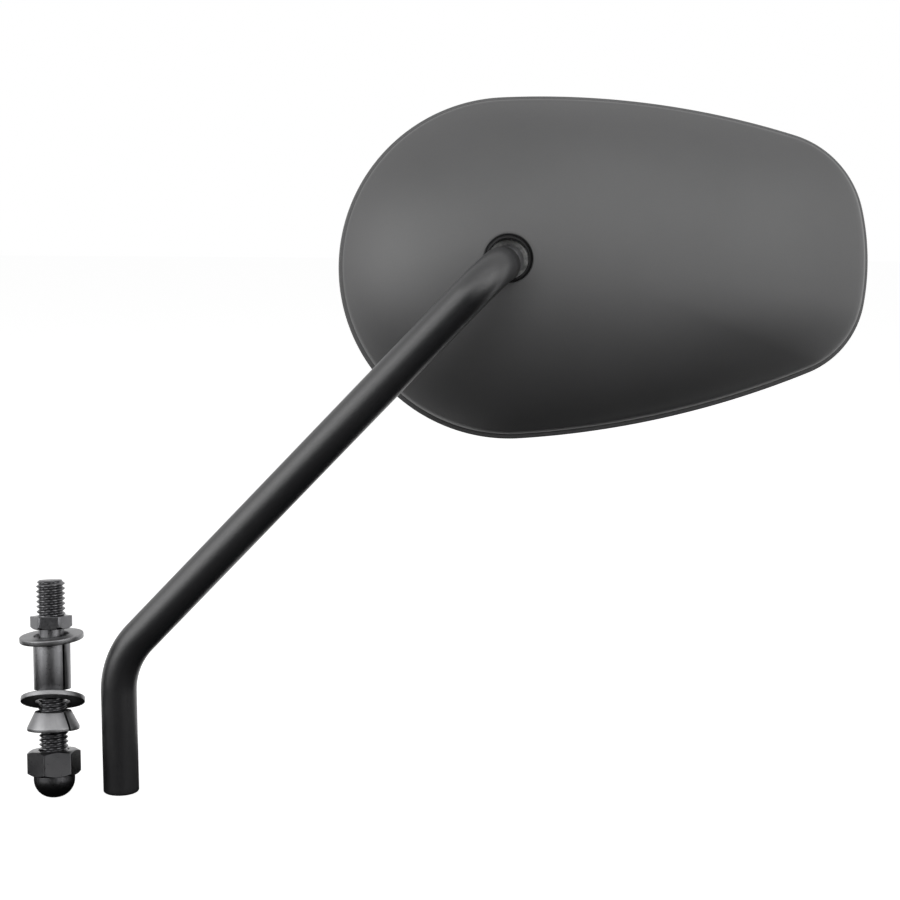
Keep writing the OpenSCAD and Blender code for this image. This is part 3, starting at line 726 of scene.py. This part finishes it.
def surroundings():
    """White where they are seen, and almost dark for bounced light, which the lamps give."""
    world = bpy.data.worlds.new("studio")
    bpy.context.scene.world = world
    world.use_nodes = True
    nt = world.node_tree
    background = nt.nodes["Background"]
    background.inputs["Color"].default_value = (1, 1, 1, 1)
    level = nt.nodes.new("ShaderNodeMapRange")
    level.inputs["To Min"].default_value = ROOM_FILL
    level.inputs["To Max"].default_value = 1.0
    nt.links.new(seen(nt), level.inputs["Value"])
    nt.links.new(level.outputs["Result"], background.inputs["Strength"])


def flag(name, corners):
    """A black card that only reflections and bounced light meet, as flags stand in a studio."""
    mesh = bpy.data.meshes.new(name)
    mesh.from_pydata(corners, [], [[0, 1, 2, 3]])
    ob = bpy.data.objects.new(name, mesh)
    m = bpy.data.materials.new(name)
    m.use_nodes = True
    bsdf = m.node_tree.nodes["Principled BSDF"]
    bsdf.inputs["Base Color"].default_value = (CARD_BLACK, CARD_BLACK, CARD_BLACK, 1)
    bsdf.inputs["Specular IOR Level"].default_value = 0.0
    mesh.materials.append(m)
    ob.visible_camera = False
    ob.visible_shadow = False
    bpy.context.scene.collection.objects.link(ob)


def on_floor(x0, x1, y0, y1):
    """Corners of a card that lies on the floor."""
    return [(x0, y0, CARD_Z), (x1, y0, CARD_Z), (x1, y1, CARD_Z), (x0, y1, CARD_Z)]


def lamp(name, around, height, power):
    """A square softbox aimed at the mirror, placed by its angle round it and its angle up."""
    light = bpy.data.lights.new(name, "AREA")
    light.shape = "SQUARE"
    light.size = SOFTBOX_SIZE
    light.energy = power
    side, up = math.radians(around), math.radians(height)
    off = Vector((math.cos(up) * math.sin(side), -math.cos(up) * math.cos(side), math.sin(up)))
    ob = bpy.data.objects.new(name, light)
    ob.location = Vector(LIGHT_TARGET) + off * SOFTBOX_D
    ob.rotation_euler = (-off).to_track_quat("-Z", "Y").to_euler()
    ob.visible_camera = False
    bpy.context.scene.collection.objects.link(ob)


def camera():
    cam = bpy.data.cameras.new("camera")
    cam.sensor_width = CAMERA_SENSOR
    cam.lens = CAMERA_LENS
    cam.clip_start, cam.clip_end = 0.05, 20.0
    ob = bpy.data.objects.new("camera", cam)
    turn = turned("Z", CAMERA_PAN) @ turned("X", CAMERA_TIP)
    ob.matrix_world = Matrix.Translation(CAMERA_AT) @ turn
    bpy.context.scene.collection.objects.link(ob)
    bpy.context.scene.camera = ob


floor()
surroundings()
flag("flag_behind_camera", [(CARD_LEFT, CARD_Y, 0.0), (CARD_RIGHT, CARD_Y, 0.0),
                            (CARD_RIGHT, CARD_Y, CARD_TOP), (CARD_LEFT, CARD_Y, CARD_TOP)])
flag("flag_on_floor", on_floor(CARD_LEFT, CARD_RIGHT, CARD_Y, FLOOR_CARD_END_Y))
flag("flag_under_head",
     on_floor(HEAD_CARD_LEFT, HEAD_CARD_RIGHT, FLOOR_CARD_END_Y, HEAD_CARD_END_Y))
# name, degrees round the mirror (0 on the camera's side, 90 on the right), degrees up, power
for name, around, height, power in (
    ("left_low", -40, 16, 2.5),
    ("left_side", -66, 8, 2.1),
    ("front_middle", 0, 24, 1.9),
    ("front_high", 0, 48, 0.6),
    ("right_low", 45, 15, 2.0),
    ("right_high", 45, 45, 0.9),
    ("right_side", 70, 10, 0.8),
    ("right_back", 122, 4, 1.0),
):
    lamp(name, around, height, power)
camera()
bpy.context.scene.view_settings.view_transform = "Standard"
